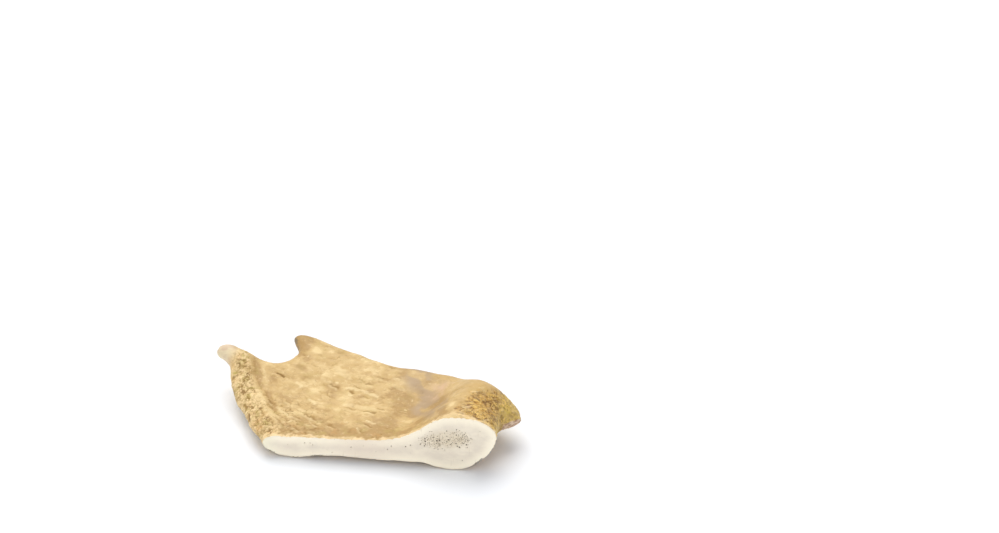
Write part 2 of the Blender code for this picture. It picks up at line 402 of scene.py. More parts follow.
def cells(points, size, seed):
    # distance to the middle of the nearest cell and of the next one,
    # and a number that belongs to the cell
    nearest, second, lot = [], [], []
    for p in (points / np.array(size) + seed).tolist():
        distances, middles = noise.voronoi(p)
        nearest.append(distances[0])
        second.append(distances[1])
        lot.append(0.5 + 0.5 * noise.cell(middles[0] * 7.3))
    return np.array(nearest), np.array(second), np.array(lot)


def fromCrease(points):
    # how far to the right of the crease each place is
    crease = np.array(barkZones["crease"])
    return points[:, 0] - np.interp(points[:, 1], crease[:, 1], crease[:, 0])


def grainWay(points):
    # the grain runs beside the crease at the left and turns along the cut towards the beam
    base, more, reach = barkZones["grain"]
    turn = np.radians(base + more * np.exp(-np.clip(fromCrease(points), 0.0, None) / reach))
    return np.column_stack([np.cos(turn), -np.sin(turn), 0.0 * turn])


def combed(points, size, length, seed):
    # soft noise drawn out along the grain, about -1 to 1
    total = field(points, size, seed)
    step = length / 3.0
    for way in (1.0, -1.0):
        place = points
        for share in (0.85, 0.6, 0.3):
            place = place + grainWay(place) * way * step
            total = total + share * field(place, size, seed)
    return total / (np.std(total) * 2.2)


def zoneShares(points):
    # how much each place belongs to each kind of bark, 0 to 1
    x, y, z = points.T
    wander = field(points, 6.0, 2.7)
    ragged = field(points, 2.2, 8.1)
    right = fromCrease(points)
    low = fade((z - 11.5) / 4.5)
    upper = ease((z - boneShape["upperSide"]) / 4.0)
    outerTip = patch(points, barkZones["outerTip"], 0.45)
    shadedInnerTip = patch(points, barkZones["shadedInnerTip"], 0.2)

    band = ease((1.2 + 1.8 * wander + 1.6 * ragged - right) / 2.2)
    for spot in barkZones["smoothSpots"]:
        band *= 1.0 - 0.8 * patch(points, spot, 0.5) * upper
    rolled = ease((5.2 + right) / 2.0)  # smoother beside the crease
    beam = ease((x + 1.2 + 1.5 * wander + 2.6 * ragged) / 4.6)
    beam *= (ease((1.5 * (x - 2.0) + 12.5 - y + 3.0 * wander + 4.0 * ragged) / 7.5)
             * ease((34.0 - y) / 8.0))

    fromGrey = pathDistance(points[:, :2], barkZones["greyHollow"]) / barkZones["greyWidth"]
    grey = fade(fromGrey - 0.15 + 0.35 * wander)
    grey *= fade((x + 6.0 + 0.12 * (y - 19.0) + 1.2 * wander) / 2.0)
    # painted shade down the left flank of the inner tine's tip
    shadedFlank = fade((pathDistance(points[:, :2], barkZones["shadedFlank"]) - 0.6) / 2.4)
    shadedFlank *= ease((z - 10.5) / 2.5)
    return {
        "pearled": np.maximum(band * (1.0 - outerTip) * (1.0 - 0.75 * rolled), beam),
        "beam": beam,
        "polished": outerTip,
        "shadedInnerTip": np.maximum(0.75 * shadedInnerTip, 0.9 * shadedFlank),
        "grey": grey * upper,
        "spurward": ease((x - 11.0 + 1.5 * wander) / 6.0),
        "front": fade((y - 1.0) / 15.0) * (0.15 + 0.85 * low),
        "rough": np.clip(0.9 * ease((-x - 42.0) / 22.0) * ease((30.0 - y) / 16.0)
                         + 0.6 * fade((y - 2.0) / 9.0) * low, 0.0, 1.0),
        "golden": ease((x - 0.5 + 2.0 * wander) / 6.0),
        **{name: patch(points, barkZones[name], 0.1) * upper
           for name in ("paleBeam", "darkBeam", "rosyHollow")},
        # the groove beside the crease and the roll beside it; in the colour they carry painted
        # shade and a painted highlight
        "trough": upper * np.maximum(
            bell(right, 0.4, 1.3) * ease((y - 12.0) / 4.0) * ease((29.0 - y) / 5.0),
            0.72 * bell(right, -1.6, 1.3) * ease((y - 24.0) / 4.0) * ease((43.0 - y) / 6.0),
        ),
        "rolled": upper * np.maximum(
            bell(right, -3.0, 1.7) * ease((26.0 - y) / 5.0) * ease((y - 4.0) / 6.0),
            0.9 * bell(right, 0.9, 0.9) * ease((y - 25.0) / 4.0) * ease((40.0 - y) / 5.0),
        ),
    }


relief = {
    "pearlSize": (1.22, 1.08, 1.08),
    "pearlHeight": 0.3,
    "chipSize": (3.3, 1.7, 1.7),
    "chipHeight": 0.14,
    "chipTurn": math.radians(13.0),
    "ribHeight": 0.05,
    "mottleHeight": 0.11,
    "rippleHeight": 0.05,
    "creaseDepth": 0.45,
    "dentDepth": 0.28,
    "flakeHeight": 0.1,
    "looseDents": 460,
    "looseLength": 2.6,  # of the longest of them
    "looseOnTop": 0.6,  # the share of them that is on the upper side
    "lipOffset": (0.3, 0.95),  # from the lip of a dent to the dent
    "slitDepth": 0.45,
    "notchDepth": 0.28,
}

# dents that stand out on the palm: from x, y to x, y, then width and share of the full depth
dents = [
    (-50, 30.9, -47.4, 29.5, 0.85, 0.9), (-42.6, 28.3, -40.4, 26.6, 0.9, 1),
    (-41.4, 30.7, -38, 29.5, 0.6, 0.8), (-36.9, 32.2, -34.3, 31.6, 0.9, 0.8),
    (-40.1, 34.4, -38, 34.2, 0.6, 0.6), (-33.4, 35.7, -31.2, 35.5, 0.6, 0.7),
    (-26.2, 35.8, -24.8, 35.4, 0.6, 0.8), (-42.2, 18.5, -38.9, 17.9, 0.55, 0.7),
    (-35.5, 16.8, -30.9, 15.8, 0.7, 0.9), (-30.3, 18.4, -28.1, 18, 0.7, 0.8),
    (-31.2, 23.4, -31, 23.2, 0.55, 0.9), (-36.5, 25.4, -34.7, 24.2, 0.8, 0.6),
    (-50.1, 25.9, -49.1, 24.6, 0.5, 0.7), (-58.3, 14.7, -54.8, 12.8, 0.55, 0.8),
    (-54.8, 12.8, -51.5, 10.8, 0.6, 0.9), (-55, 4.4, -50.5, 4.1, 1.1, 0.5),
    (-46.6, 8.5, -44, 6.8, 0.7, 0.8), (-35.4, 6, -34.2, 4.8, 0.6, 0.7),
    (-33.6, 9, -30.8, 7.5, 0.8, 0.8), (-56, 32.4, -55.2, 31.5, 0.55, 0.6),
    (-60.3, 32.1, -59.4, 31.4, 0.6, 0.5), (-70.6, 20.6, -69.6, 19.2, 0.55, 1),
    (-64.6, 20.5, -62.6, 18.6, 0.7, 0.7), (-60.8, 20.4, -59.8, 19.4, 0.5, 0.7),
    (-61, 12.6, -57.8, 11, 0.6, 0.8), (-66, 9.4, -62.8, 6, 0.9, 0.7),
    (-59, 5.4, -56.6, 4, 0.8, 0.8), (-72.8, 14.6, -71.8, 11.4, 0.7, 0.9),
    (-80.4, 19.6, -78.8, 16.8, 0.7, 1), (-81.6, 27.4, -80.4, 26.4, 0.7, 0.9),
    (-21.6, 19.4, -19.4, 18.8, 0.5, 0.5), (-59.6, 9.9, -57.8, 9.3, 0.5, 0.8),
    (-54.3, 8.1, -53.1, 7.6, 0.5, 0.8), (-51.6, 7.8, -50.4, 7.5, 0.6, 0.9),
    (-46.3, 8.9, -45.3, 8.5, 0.45, 0.7), (-33.5, 8.8, -32.3, 8.4, 0.6, 0.9),
]

# pale worn flakes: from x, y to x, y, then half the width and how pale it is
flakes = [
    (-43.7, 29.8, -38.7, 28.9, 0.9, 0.8), (-38.7, 28.9, -31.3, 25.1, 0.9, 0.8),
    (-49.4, 38.9, -43.8, 34.5, 1.6, 0.5), (-56.5, 22.6, -53.8, 20, 0.75, 0.9),
    (-42.8, 20.8, -31.1, 17.6, 1.5, 0.5), (-62.5, 30.2, -60.6, 28.5, 0.8, 0.8),
    (-47.8, 32, -47.2, 31.6, 0.6, 0.9), (-42.2, 26, -41.4, 25.7, 0.55, 1),
    (-32.8, 11.1, -30.2, 9.6, 0.7, 0.8), (-35.9, 6.4, -34.9, 6, 0.5, 0.9),
    (-67.3, 17, -61.7, 11.2, 0.8, 0.6), (-61.4, 8.1, -58.8, 9.7, 0.6, 0.7),
    (-18.9, 25, -18.6, 24.8, 0.45, 1), (-20.2, 19.6, -19.9, 19.4, 0.4, 1),
    (5, 16.2, 6.4, 16.9, 0.6, 0.7), (6.8, 19.6, 8, 20.4, 0.55, 0.5),
    (-50.6, 8.9, -49.8, 8.6, 0.45, 0.8), (-26.6, 31.6, -22.4, 29.4, 1.1, 0.4),
    (3.2, 6.4, 5.2, 7.4, 0.8, 0.7), (10.6, 2.4, 12.2, 3.6, 0.6, 0.6),
    (-53.8, 33.4, -49.6, 31, 1, 0.4),
]


def flakeShare(points):
    # how pale the worn flakes make each place
    flat = points[:, :2] + 0.55 * wavering(points, 1.7, (91.0, 97.0), 2)
    pale = np.zeros(len(points))
    upperSide = points[:, 2] > boneShape["upperSide"]
    for x0, y0, x1, y1, width, much in flakes:
        away = np.hypot(points[:, 0] - (x0 + x1) / 2.0, points[:, 1] - (y0 + y1) / 2.0)
        near = np.flatnonzero((away < math.hypot(x1 - x0, y1 - y0) / 2.0 + width + 1.5) & upperSide)
        distance = pathDistance(flat[near], [(x0, y0), (x1, y1)])
        pale[near] = np.maximum(pale[near], much * fade((distance / width - 0.35) / 0.65))
    return pale


def dentShares(points, s, rng):
    # how deep each place lies in a dent, and how far it stands on the lip below one
    low, high = points.min(0), points.max(0)
    loose = []
    while len(loose) < s["looseDents"]:
        x, y = rng.uniform(low[0], high[0]), rng.uniform(low[1], high[1])
        way = grainWay(np.array([[x, y, 0.0]]))[0]
        way = turnedBy(*way[:2], rng.normal(0.0, 0.5))
        length = rng.uniform(0.2, 1.0) ** 2 * s["looseLength"]
        x1, y1 = x + way[0] * length, y + way[1] * length
        loose.append((x, y, x1, y1, rng.uniform(0.45, 0.85), rng.uniform(0.1, 0.6)))
    upperSide = points[:, 2] > boneShape["upperSide"]
    flat = points[:, :2] + 0.9 * wavering(points, 1.9, (51.0, 57.0))
    deep, lip = np.zeros(len(points)), np.zeros(len(points))
    for number, (x0, y0, x1, y1, width, depth) in enumerate(dents + loose):
        placed = number < len(dents)
        onTop = placed or rng.uniform() < s["looseOnTop"]
        span = math.hypot(x1 - x0, y1 - y0) / 2.0 + 2.5
        near = np.flatnonzero((np.abs(points[:, 0] - (x0 + x1) / 2.0) < span)
                              & (np.abs(points[:, 1] - (y0 + y1) / 2.0) < span)
                              & (upperSide == onTop))
        if not len(near):
            continue
        path = [(x0, y0), (x1, y1) if span > 2.6 else (x0 + 0.2, y0)]
        distance = pathDistance(flat[near], path)
        deep[near] = np.maximum(deep[near], depth * fade(distance / width))
        below = pathDistance(flat[near] + s["lipOffset"], path)
        pale = 1.0 if placed else 0.4
        lip[near] = np.maximum(lip[near], pale * depth * fade(below / (width + 0.25)))
    return deep, lip * (1.0 - deep)


def barkRelief(points, facing, zones, rng):
    # height of the fine relief over the soft shape, how deep each place lies in a hollow,
    # how pale it is from wear and a painted highlight, and its tone
    s = relief
    x, y, z = points.T
    pearled, beam, rough = zones["pearled"], zones["beam"], zones["rough"]
    smooth = 1.0 - np.maximum(zones["polished"], 0.4 * zones["grey"])
    palm = (1.0 - pearled) * smooth

    # pearls with crevices between them
    bent = points + 0.7 * wavering(points, 1.9, (61.0, 67.0, 71.0))
    nearest, second, lot = cells(bent, s["pearlSize"], 11.3)
    dome = fade(nearest / 0.62)
    crevice = fade((second - nearest) / 0.4)
    cracked = ease(0.42 + 1.4 * field(points, 2.2, 31.0, 2)) * (1.0 - 0.8 * beam)
    outer = ease((-facing[:, 0] - 0.3) / 0.45) * ease((-x - 60.0) / 6.0)
    cracked *= 1.0 - 0.45 * outer  # the side of the left rim is worn nearly even
    inward = 0.3 + 0.7 * ease(y / 2.5)  # and so is the edge beside the long cut
    height = (0.4 + 0.9 * lot) * (dome - 0.45) - 0.8 * crevice * cracked
    height *= s["pearlHeight"] * pearled * inward * (1.0 - 0.55 * outer)
    # dark crevices: the bark's own stain, with painted shade in them
    deep = 0.8 * pearled * crevice * cracked
    # pale tops of the pearls: wear, with a painted highlight on each crest
    wearAndHighlight = pearled * dome * lot * (1.0 - 0.4 * beam)

    # flat chips along the grain, with broken cracks between them, most of them low on the left
    turned = np.column_stack([*turnedBy(bent[:, 0], bent[:, 1], s["chipTurn"]), bent[:, 2]])
    nearest, second, lot = cells(turned, s["chipSize"], 23.7)
    calm = smooth * (1.0 - 0.7 * ease((x + 25.0) / 11.0) * (1.0 - pearled))
    broken = ease((field(points, 2.3, 83.0, 2) - 0.12 + 0.42 * rough) / 0.34)
    crack = fade((second - nearest) / 0.2) * broken * palm * (0.3 + 0.7 * calm)
    height += s["chipHeight"] * palm * calm * ((lot - 0.5) * fade(nearest / 0.8) - crack)
    deep = np.maximum(deep, (0.28 + 0.3 * rough) * crack)

    # ribs and mottles drawn out along the grain, ripples, and the groove beside the crease
    ribs = combed(points, 1.3, 1.5, 4.4)
    mottles = combed(points, 3.1, 2.2, 14.0)
    ripple = field(points, 1.1, 17.0, 2)
    height += (s["ribHeight"] * ribs + s["mottleHeight"] * mottles) * calm * (1.0 - 0.4 * pearled)
    height += s["rippleHeight"] * ripple * smooth
    height -= s["creaseDepth"] * zones["trough"] * smooth

    dented, lip = dentShares(points, s, rng)
    flaked = flakeShare(points)
    height += s["flakeHeight"] * flaked * smooth
    height += s["dentDepth"] * (0.22 * lip - dented) * smooth * inward * (1.0 - 0.5 * outer)
    deep = np.maximum(deep, 0.6 * dented * smooth)
    # the lips below the dents are a painted highlight, the flakes pale wear
    wearAndHighlight = np.maximum(wearAndHighlight, np.maximum(0.65 * lip * palm, flaked))

    upper = ease((z - boneShape["upperSide"]) / 3.0)
    fromSlits = [pathDistance(points[:, :2], path) for path in barkZones["slits"]]
    slit = np.maximum(*[fade(distance / 0.62) for distance in fromSlits])
    slit *= ease((z - 4.5) / 2.0)
    height -= s["slitDepth"] * slit
    deep = np.maximum(deep, 0.85 * slit)

    # the saw has torn small notches in the edge of the bark
    border = fade(y / 1.5) * (0.25 + 0.75 * upper)
    torn = ease((field(points, (1.7, 1.3, 1.1), 40.0, 2) - 0.16) / 0.3)
    height -= s["notchDepth"] * border * torn
    deep = np.maximum(deep, 0.45 * border * torn)

    # 0 dark to 1 light: the sides of the ribs and mottles, and broad soft patches
    broad = field(points, (10.0, 8.0, 8.0), 44.0, 2)
    blotch = field(points, (4.2, 3.2, 3.2), 47.0, 2)
    tone = 0.5 + (0.07 * np.clip(ribs, -1.6, 1.6) + 0.15 * np.clip(mottles, -1.6, 1.6)) * calm
    even = 1.0 - 0.6 * patch(points, barkZones["flank"], 0.5)
    tone += (0.3 * broad + 0.26 * blotch + 0.3 * (lot - 0.5) * palm) * even
    tone -= 0.95 * patch(points, barkZones["innerTine"], 0.1) + 0.12 * ease((x + 22.0) / 12.0)
    # olive smudges, with painted shade and a painted highlight beside the beam
    for *place, much in barkZones["smudgesAndPaintedLight"]:
        tone += much * patch(points, place, 0.1) * upper
    # painted highlight on the beam's shoulder
    tone += 0.22 * patch(points, barkZones["shoulder"], 0.2)
    tone += (0.44 - 0.22 * ease((y - 18.0) / 12.0)) * pearled * (1.0 - beam)
    tone -= 0.34 * patch(points, barkZones["frontDark"], 0.2)
    return height, deep, wearAndHighlight, np.clip(tone, 0.0, 1.0)


zones = zoneShares(places)
rng = np.random.default_rng(boneShape["seed"])
height, deep, wearAndHighlight, tone = barkRelief(places, facingOf(barkMesh), zones, rng)
onSpur, offSpur = onSpurCut(places)
places = np.where(
    onSpur[:, None],
    places - offSpur[:, None] * np.array(unit(sawCuts["spur"]["facing"])),
    places + facingOf(barkMesh) * height[:, None],
)
places[:, 2] = np.maximum(places[:, 2], groundHeight)
writeMesh(barkMesh, places)
keep(barkMesh, "spurCut", onSpur)
for name, values in {"deep": deep, "wearAndHighlight": wearAndHighlight, "tone": tone}.items():
    keep(barkMesh, name, np.where(onSpur, 0.0, values))
print("bark has its relief")


def sawThrough(bm, cut):
    # saws the bone on a plane a bevel behind the cut and takes off the end that was run on
    facing = unit(cut["facing"])
    point = Vector(cut["point"]) - facing * cut["bevel"]
    near = [f for f in bm.faces if (f.calc_center_median() - point).length < cut["reach"]]
    sides = inOrder(e for f in near for e in f.edges)
    corners = inOrder(v for f in near for v in f.verts)
    geometry = [*near, *sides, *corners]
    bmesh.ops.bisect_plane(bm, geom=geometry, dist=cut["slack"], plane_co=point, plane_no=facing)
    end = point + facing * cut["runOn"]
    waiting = [min(bm.faces, key=lambda f: (f.calc_center_median() - end).length)]
    off = inOrder(waiting)
    while waiting:
        for face in inOrder(f for e in waiting.pop().edges for f in e.link_faces):
            if face not in off and (face.calc_center_median() - point).dot(facing) > 0.0:
                off[face] = None
                waiting.append(face)
    bmesh.ops.delete(bm, geom=list(off), context="FACES")
    rim = inOrder(v for e in bm.edges if e.is_boundary for v in e.verts)
    bmesh.ops.remove_doubles(bm, verts=list(rim), dist=cut["weld"])
    loops = orderedLoops(e for e in bm.edges if e.is_boundary)
    print("open edges:", [len(loop) for loop in loops])
    return loops[-1]


spongyCore = {
    "middle": (-2.3, 13),  # x and z in the long cut
    "reach": (10.2, 5.2),
    "tilt": math.radians(7.5),
    "step": 0.15,
    "pores": 175,
    "poreRadius": (0.13, 0.4),
    "poreDepth": 0.75,
    "poreSpread": 1.35,  # how far a pore's hollow goes, as a share of its radius
    "clearing": 0.3,  # how far the coarse points of the face keep from a pore
    "fineRing": 0.22,  # how far round a pore the fine points go
    # where the pores crowd: x and z, how far that reaches, and how much they crowd there
    "clusters": [
        (-10.3, 11.3, 1.7, 1.4, 1), (-6, 11.8, 2.6, 1.6, 0.8), (-0.8, 12.2, 2.4, 1.2, 0.7),
        (3.4, 13.6, 2.1, 1.9, 0.7), (6.2, 9.9, 1.6, 0.7, 0.5), (-6.6, 9.4, 2.6, 0.7, 0.3),
    ],
    # single pores and specks: x, z, radius and how dark
    "spots": [
        (-10.1, 11.4, 0.34, 1), (-5.9, 12, 0.36, 1), (-7, 13.4, 0.27, 1),
        (-10.4, 9.4, 0.29, 1), (-11.9, 10, 0.27, 1), (-1.7, 12.8, 0.32, 1),
        (1, 11.5, 0.27, 1), (1.4, 10.3, 0.3, 1), (2.2, 9.9, 0.32, 1),
        (3.2, 11.9, 0.27, 1), (3.8, 11.7, 0.24, 1), (4.7, 11.2, 0.32, 1),
        (3.4, 15.3, 0.24, 0.9), (3.4, 14.5, 0.24, 0.9), (5.2, 13.2, 0.27, 0.9),
        (-2.3, 16.6, 0.27, 0.8), (1.2, 17.5, 0.24, 0.8), (-53.9, 6.8, 0.24, 0.8),
        (-51.9, 6.9, 0.5, 0.35), (-51, 6.2, 0.22, 0.6), (-37, 6.5, 0.24, 0.8),
        (-44, 3.5, 0.22, 0.6), (-23.8, 6.7, 0.22, 0.9), (-22.4, 8.2, 0.24, 0.8),
        (-17.2, 8.5, 0.27, 0.9), (-15.4, 9.3, 0.24, 0.9), (-12.4, 12.6, 0.22, 0.7),
        (-3.1, 8.3, 0.22, 0.5), (9.6, 17.5, 0.22, 0.5), (3.2, 4.2, 0.27, 0.6),
        (-60.2, 5.4, 0.2, 0.5), (-32.5, 7.4, 0.2, 0.5), (-28, 5.2, 0.22, 0.5),
        (-65.3, 1.5, 0.34, 1),
    ],
    # dark thin places along the cut's lower edge, painted shade where it meets the ground: from x
    # to x
    "darkEdges": [(-69, -64.5), (-60, -55.2), (-53.1, -45.9), (6, 11.7)],
    "edgeTaper": 2.2,
    "edgeWidth": 0.28,
    "edgeShadeStrength": 0.8,
    # x and z of a line halfway up the cut
    "halfway": [(-70, 4), (-20, 5), (-5, 9), (14, 11)],
}


def coreShare(x, z):
    # 1 in the middle of the spongy core, 0 at its edge
    s = spongyCore
    along, across = turnedBy(x - s["middle"][0], z - s["middle"][1], -s["tilt"])
    return 1.0 - np.hypot(along / s["reach"][0], across / s["reach"][1])


def scatterPores(s, rng):
    # middle, radius and darkness of each pore, thinning out towards the edge of the core
    pores = list(s["spots"])
    while len(pores) < s["pores"] + len(s["spots"]):
        x = s["middle"][0] + rng.uniform(-1, 1) * s["reach"][0]
        z = s["middle"][1] + rng.uniform(-1, 1) * s["reach"][1] * 1.2
        share = coreShare(x, z)
        crowd = max(much * math.exp(-((x - a) / wide) ** 2 - ((z - b) / high) ** 2)
                    for a, b, wide, high, much in s["clusters"])
        if share < 0.0 or rng.uniform() > 0.1 * share + crowd:
            continue
        small, large = s["poreRadius"]
        radius = small + (large - small) * rng.uniform() ** 2 * (0.35 + 0.75 * crowd)
        if all(math.hypot(x - a, z - b) > 0.55 * (radius + r) + 0.25 for a, b, r, much in pores):
            pores.append((x, z, radius, rng.uniform(0.5, 1.0)))
    return np.array(pores)


def gridPoints(low, high, step, rng, jitter=0.28):
    rows = np.arange(low[1], high[1], step * math.sqrt(0.75))
    columns = np.arange(low[0], high[0], step)
    shift = 0.5 * step  # every second row
    grid = np.array([(x + shift * (row % 2), y) for row, y in enumerate(rows) for x in columns])
    return grid + rng.uniform(-jitter, jitter, grid.shape) * step


def poreDistance(points, pores):
    # how far each place lies outside the nearest pore
    nearest = np.full(len(points), np.inf)
    for x, z, radius, much in pores:
        near = np.flatnonzero(np.abs(points[:, 0] - x) < 2.0)
        away = np.hypot(points[near, 0] - x, points[near, 1] - z)
        nearest[near] = np.minimum(nearest[near], away - spongyCore["poreSpread"] * radius)
    return nearest


def sawnFace(bm, rim, cut, pores, rng):
    # closes a saw cut: a worn bevel and then the face, finer round its pores
    facing, across = unit(cut["facing"]), unit(cut["across"])
    up = facing.cross(across)
    origin = Vector(cut["point"])
    loop = seenSquare([v.co for v in rim], cut)[0]
    if ((loop[:, 0] * np.roll(loop[:, 1], -1)) - (np.roll(loop[:, 0], -1) * loop[:, 1])).sum() < 0:
        rim, loop = rim[::-1], loop[::-1]
    tangent = sum(np.roll(loop, -k, axis=0) - np.roll(loop, k, axis=0) for k in (1, 2, 3))
    inward = np.column_stack([-tangent[:, 1], tangent[:, 0]])
    inner = loop + inward / np.linalg.norm(inward, axis=1)[:, None] * cut["bevel"]

    points = gridPoints(inner.min(0), inner.max(0), cut["step"], rng)
    fine = gridPoints(inner.min(0), inner.max(0), spongyCore["step"], rng)
    points = points[poreDistance(points, pores) > spongyCore["clearing"]]
    fine = fine[poreDistance(fine, pores) < spongyCore["fineRing"]]
    points = np.concatenate([points, fine])
    points = points[insideLoop(points, inner)]
    points = points[loopDistance(points, inner) > 0.55 * cut["step"]]

    count = len(inner)
    flat = [Vector(p) for p in np.concatenate([inner, points])]
    laid, _, triangles, sources = delaunay_2d_cdt(flat, [], [list(range(count))], 1, 1e-7)[:4]
    made = [bm.verts.new(origin + across * place[0] + up * place[1]) for place in laid]
    faces = [bm.faces.new([made[i] for i in triangle]) for triangle in triangles]
    innerVerts = [None] * count
    for vert, source in zip(made, sources):
        for index in source:
            if index < count:
                innerVerts[index] = vert
    for i in range(count):
        j = (i + 1) % count
        ring = [rim[i], rim[j], innerVerts[j], innerVerts[i]]
        ring = [v for k, v in enumerate(ring) if v is not None and v is not ring[k - 1]]
        if len(ring) >= 3:
            faces.append(bm.faces.new(ring))
    print("sawn face:", len(faces), "faces, missing", sum(v is None for v in innerVerts))
    return faces, made, loop


rng = np.random.default_rng(boneShape["seed"])
bone = bmesh.new()
bone.from_mesh(barkMesh)
poreAndShadeLayer = bone.verts.layers.float.new("poreAndShade")
insideLayer = bone.verts.layers.float.new("inside")
pores = scatterPores(spongyCore, rng)
longRim = sawThrough(bone, sawCuts["long"])
longFaces, longVerts, longOutline = sawnFace(bone, longRim, sawCuts["long"], pores, rng)
for face in longFaces:
    face.material_index = 1
bmesh.ops.recalc_face_normals(bone, faces=bone.faces)

# the pores are pressed into the long cut, and painted shade lies along parts of its lower edge,
# where it meets the ground
flatPlaces = np.array([(v.co.x, v.co.z) for v in longVerts])
fromRim = loopDistance(flatPlaces, longOutline)
pressed, darkened = np.zeros(len(longVerts)), np.zeros(len(longVerts))
for x, z, radius, much in pores:
    away = np.hypot(flatPlaces[:, 0] - x, flatPlaces[:, 1] - z)
    hollow = fade(away / (radius * spongyCore["poreSpread"]))
    pressed = np.maximum(pressed, much * hollow)
halfway = np.interp(flatPlaces[:, 0], *zip(*spongyCore["halfway"]))
lowEdge = (fromRim < spongyCore["edgeWidth"]) & (flatPlaces[:, 1] < halfway)
taper = spongyCore["edgeTaper"]
for start, end in spongyCore["darkEdges"]:
    along = ease((flatPlaces[:, 0] - start) / taper) * ease((end - flatPlaces[:, 0]) / taper)
    darkened = np.maximum(darkened, spongyCore["edgeShadeStrength"] * along * lowEdge)
for vert, press, edgeShade, rimDistance in zip(longVerts, pressed, darkened, fromRim):
    vert.co.y += spongyCore["poreDepth"] * press
    vert[poreAndShadeLayer] = max(press, edgeShade)
    vert[insideLayer] = ease((rimDistance - 0.6) / 3.8)
print("core has", len(pores), "pores")

antlerMesh = bpy.data.meshes.new("antlerBone")
for face in bone.faces:
    face.smooth = True
bone.to_mesh(antlerMesh)
bone.free()
places = readMesh(antlerMesh)[0]
x, y, z = places.T
for name, values in zoneShares(places).items():
    keep(antlerMesh, name, values)
edgeWidth = np.clip(1.7 + 1.7 * field(places, (1.9, 1.5, 1.5), 77.0, 2), 0.35, 3.2)
edgeWidth += 2.6 * bell(x, 1.0, 4.0) * ease((z - 10.0) / 4.0)
keep(antlerMesh, "border", fade((y / edgeWidth - 0.55) / 0.45))  # bark beside the long cut
keep(antlerMesh, "core", ease(coreShare(x, z) * 1.6))
keep(antlerMesh, "greenEnd", ease((-62.0 - x) / 8.0))
keep(antlerMesh, "rosyMiddle", bell(x, -33.0, 10.0))
writeMesh(antlerMesh, toFrame(places))
antlerMesh.set_sharp_from_angle(angle=boneShape["sharpAngle"])
antler = newObject("antler_bone", antlerMesh)
print("antler is built:", len(antlerMesh.polygons), "faces")


def plug(tree, socket, value):
    if isinstance(value, bpy.types.NodeSocket):
        tree.links.new(value, socket)
    else:
        socket.default_value = value


def addNode(tree, kind, inputs, **settings):
    node = tree.nodes.new(kind)
    for name, value in settings.items():
        setattr(node, name, value)
    for name, value in inputs.items():
        plug(tree, node.inputs[name], value)
    return node


def kept(tree, name):
    # the numbers that were kept under that name
    return addNode(tree, "ShaderNodeAttribute", {}, attribute_name=name).outputs["Fac"]


def spread(value, low, high, to=(0, 1)):
    # low to high, eased, becomes 0 to 1
    return addNode(value.id_data, "ShaderNodeMapRange", {
        "Value": value, "From Min": low, "From Max": high, "To Min": to[0], "To Max": to[1],
    }, interpolation_type="SMOOTHSTEP").outputs["Result"]


def maths(operation, a, b):
    # a or b is the output of a node, and the other one may be a number
    tree = (a if isinstance(a, bpy.types.NodeSocket) else b).id_data
    return addNode(tree, "ShaderNodeMath", {0: a, 1: b}, operation=operation).outputs[0]


def times(a, b):
    return maths("MULTIPLY", a, b)


def plus(a, b):
    return maths("ADD", a, b)


def minus(a, b):
    return maths("SUBTRACT", a, b)


def blendColour(share, under, over):
    return addNode(share.id_data, "ShaderNodeMix", {0: share, 6: under, 7: over},
                   data_type="RGBA", clamp_factor=True).outputs[2]


def coated(colour, coats):
    # the colours of the coats laid over each other, each by its own share
    for share, over in coats:
        colour = blendColour(share, colour, over)
    return colour


def grainSpace(tree, size, turn):
    # the object's own space, turned to the grain and divided into waves of that size in mm
    space = addNode(tree, "ShaderNodeTexCoord", {}).outputs["Object"]
    turned = addNode(tree, "ShaderNodeMapping", {"Vector": space, "Rotation": (0.0, 0.0, turn)})
    scale = [1.0 / (wave * mm) for wave in size]
    scaled = addNode(tree, "ShaderNodeMapping", {"Vector": turned.outputs[0], "Scale": scale})
    return scaled.outputs[0]


def cloud(tree, size, detail, rough=0.55, turn=0, distortion=0):
    # soft noise, 0 to 1
    return addNode(tree, "ShaderNodeTexNoise", {
        "Vector": grainSpace(tree, size, turn), "Scale": 1.0, "Detail": detail,
        "Roughness": rough, "Distortion": distortion,
    }).outputs["Fac"]


def newMaterial(name):
    material = bpy.data.materials.new(name)
    material.use_nodes = True
    return material, material.node_tree.nodes["Principled BSDF"]


def addBump(shader, height, s):
    bump = addNode(height.id_data, "ShaderNodeBump", {
        "Height": height, "Strength": s["bumpStrength"], "Distance": s["bumpDepth"] * mm,
    })
    height.id_data.links.new(bump.outputs[0], shader.inputs["Normal"])


barkFinish = {
    "light": tint(236, 208, 151),
    "mid": tint(210, 177, 118),
    "dark": tint(180, 144, 88),
    "crest": tint(244, 220, 166),
    "rosyCrest": tint(244, 211, 160),
    "umber": tint(164, 130, 74),
    "golden": tint(206, 170, 104),
    "crevice": tint(152, 116, 58),
    "beamCrevice": tint(130, 90, 36),
    "deep": tint(108, 78, 42),
    "olive": tint(190, 168, 94),
    "amber": tint(210, 152, 76),
    "beamBrown": tint(192, 142, 58),
    "beamOlive": tint(208, 178, 80),
    "beamPale": tint(238, 200, 112),
    "beamDark": tint(116, 76, 26),
    "grey": tint(183, 156, 120),
    "rosy": tint(222, 188, 152),
    "tip": tint(230, 214, 178),
    "tipRose": tint(218, 194, 164),
    "tipShade": tint(128, 114, 88),
    "border": tint(248, 220, 168),
    # the spur's cut: sawn bone darkened with painted shade
    "sawn": tint(224, 198, 168),
    "sawnStain": tint(158, 114, 78),
    "grainTurn": math.radians(14.0),
    "bumpDepth": 0.1,  # mm
    "bumpStrength": 0.8,
    "shine": 0.38,
}


